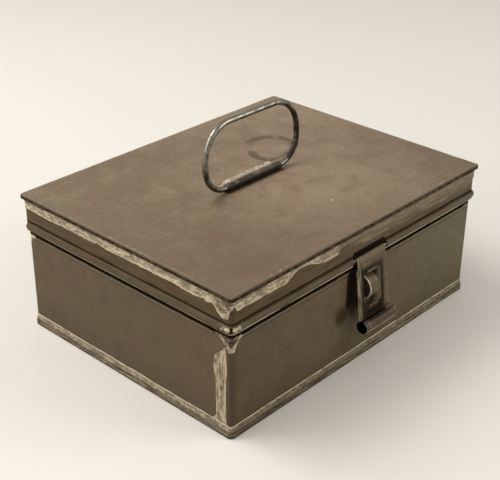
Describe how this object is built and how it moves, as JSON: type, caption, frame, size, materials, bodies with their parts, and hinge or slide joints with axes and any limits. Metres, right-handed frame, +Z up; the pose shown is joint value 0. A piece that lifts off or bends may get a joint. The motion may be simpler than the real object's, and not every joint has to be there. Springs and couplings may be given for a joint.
{
  "type": "deed box",
  "caption": "Shallow hinged tinplate box for papers, with a wire bail handle on the lid and a front hasp over a staple for a small padlock.",
  "frame": {"origin": "centre of the box's underside, on the surface it stands on", "axes": "+X along the length, +Z up, the hasp is on the front, toward -Y"},
  "size_m": [0.2642, 0.2186, 0.1588],
  "materials": {
    "brown_lacquer": "old brown japanned lacquer, satin",
    "lid_lacquer": "old brown japanned lacquer, worn satin",
    "solder": "dull smeared soft solder",
    "bare_wire": "worn iron wire",
    "hasp_tin": "brown lacquer worn at the edges"
  },
  "bodies": {
    "box": {"base_pan": "brown_lacquer", "wall_front_right": "brown_lacquer", "wall_back_left": "brown_lacquer", "base_solder": "solder", "corner_solder": "solder", "staple": "hasp_tin", "body_hinge_leaf_left": "brown_lacquer", "body_hinge_leaf_right": "brown_lacquer", "hinge_pin_left": "bare_wire", "hinge_pin_right": "bare_wire", "body_hinge_rivets": "brown_lacquer"},
    "lid": {"lid_panel": "lid_lacquer", "lid_rim_front_right": "brown_lacquer", "lid_rim_back_left": "brown_lacquer", "rim_wire": "bare_wire", "lid_solder": "solder", "lid_hinge_leaf_left": "brown_lacquer", "lid_hinge_leaf_right": "brown_lacquer", "lid_hinge_rivets": "brown_lacquer", "handle_clip": "hasp_tin"},
    "handle": {"handle": "bare_wire"},
    "hasp": {"hasp": "hasp_tin"}
  },
  "joints": [
    {"name": "lid_hinge", "type": "hinge", "parent": "box", "child": "lid", "pos_m": [0, 0.10195, 0.0775], "axis": [-1, 0, 0], "range_deg": [0, 105]},
    {"name": "handle_hinge", "type": "hinge", "parent": "lid", "child": "handle", "pos_m": [-0.0035, 0, 0.10845], "axis": [1, 0, 0], "range_deg": [-87, 87]},
    {"name": "hasp_hinge", "type": "hinge", "parent": "lid", "child": "hasp", "pos_m": [0.0035, -0.10035, 0.082], "axis": [-1, 0, 0], "range_deg": [-7, 140]}
  ]
}
